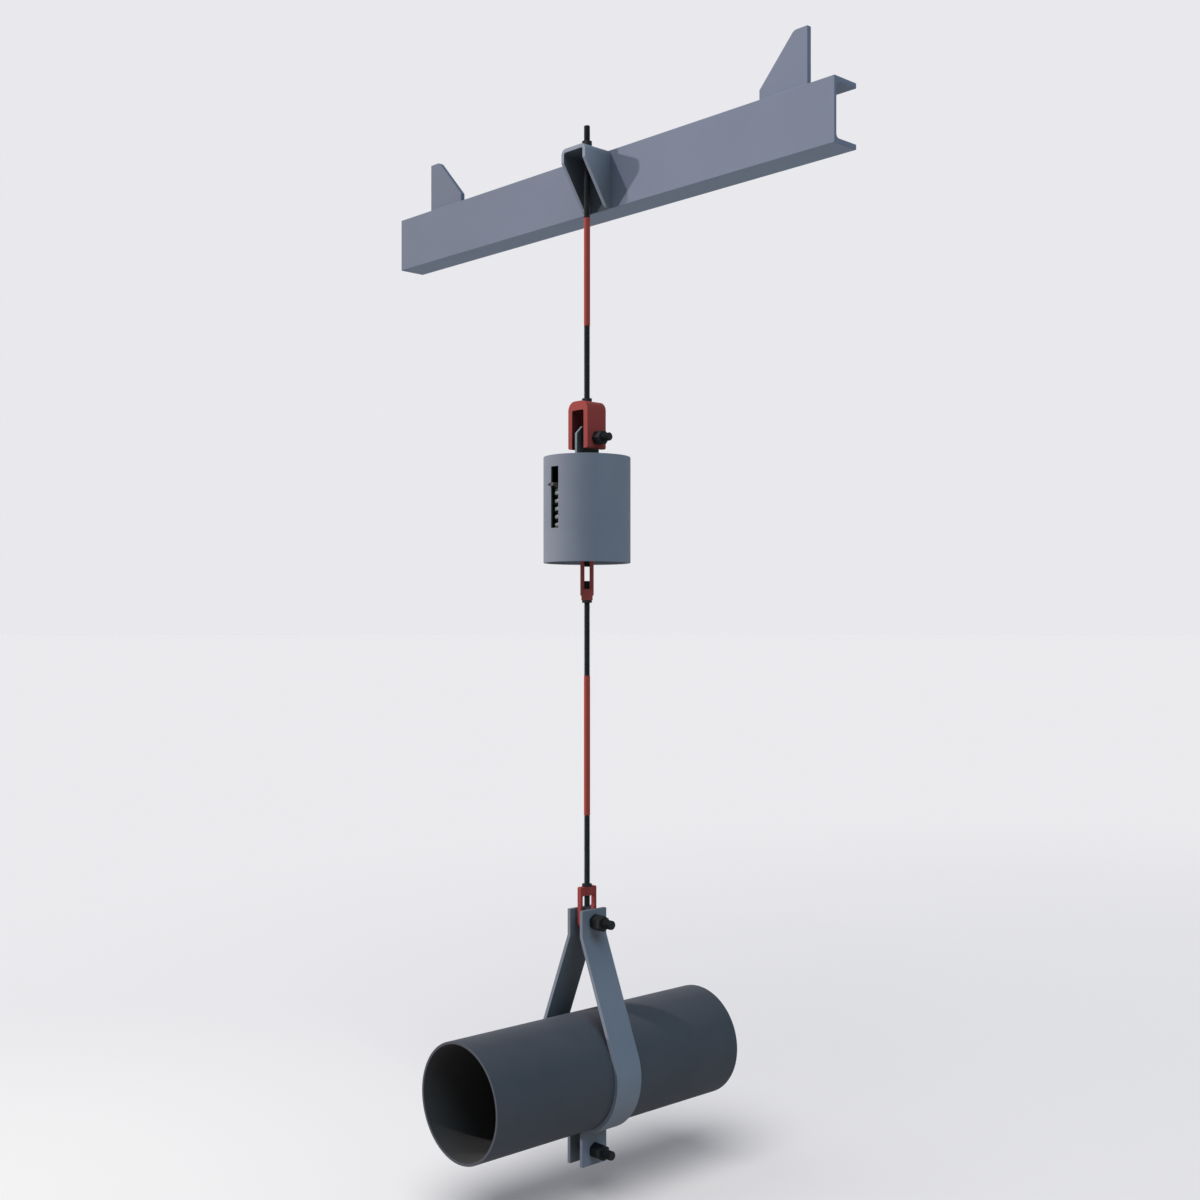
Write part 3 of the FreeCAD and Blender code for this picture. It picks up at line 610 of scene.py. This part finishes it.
# Pipe clamp
# Two halves bent from flat bar round the pipe, drilled for the bolts and painted in the
# casing's blue-grey, with painted shade towards the upper ears and on the inner faces.
clamp_paint = surface(
    "clamp_paint", (0.185, 0.22, 0.285), (0.205, 0.24, 0.305), **grey_spray
)
# Painted shade: a darker paint on the faces towards the pipe and the other half
clamp_inner_shade = surface(
    "clamp_painted_shade", (0.120, 0.143, 0.170), (0.132, 0.156, 0.184),
    roughness=(0.65, 0.78), grain=420.0, patches=9.0, relief=0.25,
)
strap_middle, ear_top, bar_edge = 0.16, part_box("clamp_half_right")[1].z, 0.0007
# Painted shade: the clamp's paint darkens towards the upper ears
painted_shade_towards(clamp_paint, (0, 0, strap_middle), (0, 0, ear_top), share=0.75)


def clamp_coat(centre, normal):
    """Painted shade on the faces towards the pipe and the other half."""
    return faces_middle(centre, normal) and abs(normal.y) < mostly


for part in ("clamp_half_left", "clamp_half_right"):
    eased(
        part, "pipe_clamp", [clamp_paint, clamp_inner_shade], bar_edge, coat=clamp_coat
    )


# Pipe
# Rolled steel tube with square-cut ends and a dark varnish over its mill skin; its bore is
# painted darker as painted shade.
pipe_steel = surface(
    "dark_varnish", (0.065, 0.074, 0.0915), (0.073, 0.082, 0.1015),
    roughness=(0.58, 0.72), grain=260.0, patches=9.0, relief=0.3, shine=0.1,
)
# Painted shade: a darker paint for the pipe's bore
pipe_bore_shade = surface(
    "pipe_bore_shade", (0.055, 0.056, 0.058), (0.062, 0.063, 0.065),
    roughness=(0.65, 0.8), grain=260.0, patches=9.0, relief=0.3, shine=0.1,
)
pipe_low, pipe_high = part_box("pipe_section")
pipe_axis, pipe_edge = (pipe_low.z + pipe_high.z) / 2, 0.0005


def pipe_coat(centre, normal):
    """Painted shade on the bore, whose faces look towards the pipe's axis."""
    outward = centre.x * normal.x + (centre.z - pipe_axis) * normal.z
    return abs(normal.y) < mostly and outward < 0


eased(
    "pipe_section", "pipe_clamp", [pipe_steel, pipe_bore_shade], pipe_edge,
    coat=pipe_coat,
)


# Floor
# Plain pale studio floor, low enough to clear the clamp at the end of the spring's travel.
# It carries a painted pool of light at the near left and painted shade far behind, and
# throws back dull light.
def mixed_by_ray(tree, seen, unseen):
    """Joins two shaders: the first is what is seen, the second is what lights other things."""
    path = tree.nodes.new("ShaderNodeLightPath")
    either = tree.nodes.new("ShaderNodeMath")
    either.operation = "MAXIMUM"
    every = tree.nodes.new("ShaderNodeMath")
    every.operation = "MAXIMUM"
    mix = tree.nodes.new("ShaderNodeMixShader")
    tree.links.new(path.outputs["Is Camera Ray"], either.inputs[0])
    tree.links.new(path.outputs["Is Glossy Ray"], either.inputs[1])
    tree.links.new(either.outputs[0], every.inputs[0])
    tree.links.new(path.outputs["Is Transmission Ray"], every.inputs[1])
    tree.links.new(every.outputs[0], mix.inputs[0])
    tree.links.new(unseen, mix.inputs[1])
    tree.links.new(seen, mix.inputs[2])
    return mix


floor_height, floor_half = -0.243, 300.0
floor_tint, dull_tint = (0.820, 0.8365, 0.920, 1), (0.41, 0.405, 0.40, 1)
bm = bmesh.new()
bmesh.ops.create_grid(bm, x_segments=1, y_segments=1, size=floor_half)
bmesh.ops.translate(bm, vec=(0, 0, floor_height), verts=bm.verts)
floor_paint = bpy.data.materials.new("floor")
floor_paint.use_nodes = True
tree = floor_paint.node_tree
tree.nodes.remove(tree.nodes["Principled BSDF"])
pale = tree.nodes.new("ShaderNodeBsdfDiffuse")
last = None
# A painted pool of light at the near left, then painted shade far behind
for tint, spot, reach, strongest in (
    ((0.920, 0.937, 1.000, 1), (-0.75, -0.80, floor_height), 1.6, 1.0),
    ((0.737, 0.760, 0.847, 1), (0.3, 2.4, floor_height), 4.5, 0.95),
):
    place = tree.nodes.new("ShaderNodeTexCoord")
    away = tree.nodes.new("ShaderNodeVectorMath")
    away.operation = "DISTANCE"
    away.inputs[1].default_value = spot
    fade = tree.nodes.new("ShaderNodeMapRange")
    fade.interpolation_type = "SMOOTHSTEP"
    fade.inputs["From Max"].default_value = reach
    fade.inputs["To Min"].default_value = strongest
    fade.inputs["To Max"].default_value = 0.0
    painted_light_and_shade = tree.nodes.new("ShaderNodeMix")
    painted_light_and_shade.data_type = "RGBA"
    painted_light_and_shade.inputs["A"].default_value = floor_tint
    painted_light_and_shade.inputs["B"].default_value = tint
    tree.links.new(place.outputs["Object"], away.inputs[0])
    tree.links.new(away.outputs["Value"], fade.inputs["Value"])
    tree.links.new(fade.outputs["Result"], painted_light_and_shade.inputs["Factor"])
    if last:
        tree.links.new(last, painted_light_and_shade.inputs["A"])
    last = painted_light_and_shade.outputs["Result"]
tree.links.new(last, pale.inputs["Color"])
dull = tree.nodes.new("ShaderNodeBsdfDiffuse")
dull.inputs["Color"].default_value = dull_tint
mix = mixed_by_ray(tree, pale.outputs[0], dull.outputs[0])
tree.links.new(mix.outputs[0], tree.nodes["Material Output"].inputs["Surface"])
floor = finished(bm, "floor", [floor_paint])
floor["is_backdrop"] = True


# Studio light
# An even sky, two warm lamps from the left and a broad blue one from the right for the hanger,
# a small lamp for what shows in the slot, and two broad lamps for the soft shadow on the floor.
sky_tint, backdrop_tint = (0.162, 0.168, 0.174, 1), (0.815, 0.815, 0.845, 1)
world = bpy.data.worlds.new("studio")
bpy.context.scene.world = world
world.use_nodes = True
tree = world.node_tree
sky = tree.nodes["Background"]
sky.inputs["Color"].default_value = sky_tint
backdrop = tree.nodes.new("ShaderNodeBackground")
backdrop.inputs["Color"].default_value = backdrop_tint
mix = mixed_by_ray(tree, backdrop.outputs[0], sky.outputs[0])
tree.links.new(mix.outputs[0], tree.nodes["World Output"].inputs["Surface"])


def lamp(name, travel, strength, colour, spread):
    """Sun that shines along a direction; a white face square to it renders at its strength."""
    light = bpy.data.lights.new(name, "SUN")
    light.energy = strength * math.pi
    light.color = colour
    light.angle = math.radians(spread)
    made = bpy.data.objects.new(name, light)
    made.rotation_mode = "QUATERNION"
    made.rotation_quaternion = Vector(travel).to_track_quat("-Z", "Y")
    bpy.context.scene.collection.objects.link(made)
    return made


def shines_on(lamp_object, name, pieces, state):
    """Limits a lamp to some pieces alone, or keeps it off them."""
    group = bpy.data.collections.new(name)
    for piece in pieces:
        group.objects.link(piece)
    lamp_object.light_linking.receiver_collection = group
    for member in group.collection_objects:
        member.light_linking.link_state = state


warm, cool, cream = (1.0, 0.89, 0.84), (0.64, 0.86, 1.0), (1.0, 0.96, 0.88)
ivory, white = (0.96, 0.94, 0.88), (1.0, 1.0, 1.0)
high_key = lamp("high_key", (0.392, 0.595, -0.702), 0.54, warm, spread=2.0)
low_key = lamp("low_key", (0.711, 0.638, -0.296), 0.60, warm, spread=2.5)
fill = lamp("fill", (-0.97, 0.20, -0.97), 0.382, cool, spread=35.0)
overhead = lamp("overhead", (-0.38, 0.55, -1.0), 0.84, cream, spread=44.0)
side_wash = lamp("side_wash", (0.82, 0.87, -1.0), 0.24, ivory, spread=56.0)
slot_lamp = lamp("slot_lamp", (-0.60, 0.78, -0.12), 1.15, white, spread=4.0)
in_slot = [spring, nodes["spring_plate"], nodes["travel_pointer"]]
shines_on(high_key, "off_floor_a", [floor], "EXCLUDE")
shines_on(low_key, "off_floor_b", [floor, turnbuckle], "EXCLUDE")
shines_on(fill, "off_floor_c", [floor], "EXCLUDE")
shines_on(overhead, "floor_only_a", [floor], "INCLUDE")
shines_on(side_wash, "floor_only_b", [floor], "INCLUDE")
shines_on(slot_lamp, "behind_slot", in_slot, "INCLUDE")


# Camera
# Level, in front of the hanger's right side, with the horizon a little below the middle.
camera_place, camera_travel = (2.1196, -1.9622, 0.8477), (-0.7279, 0.6857, 0.0)
view = bpy.data.cameras.new("camera")
view.sensor_width = 36.0
view.lens = 44.826
view.shift_y = 0.025
view.clip_end = 1000.0
camera = bpy.data.objects.new("camera", view)
camera.location = camera_place
camera.rotation_mode = "QUATERNION"
camera.rotation_quaternion = Vector(camera_travel).to_track_quat("-Z", "Y")
bpy.context.scene.collection.objects.link(camera)
bpy.context.scene.camera = camera
bpy.context.scene.view_settings.view_transform = "Standard"

low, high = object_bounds()
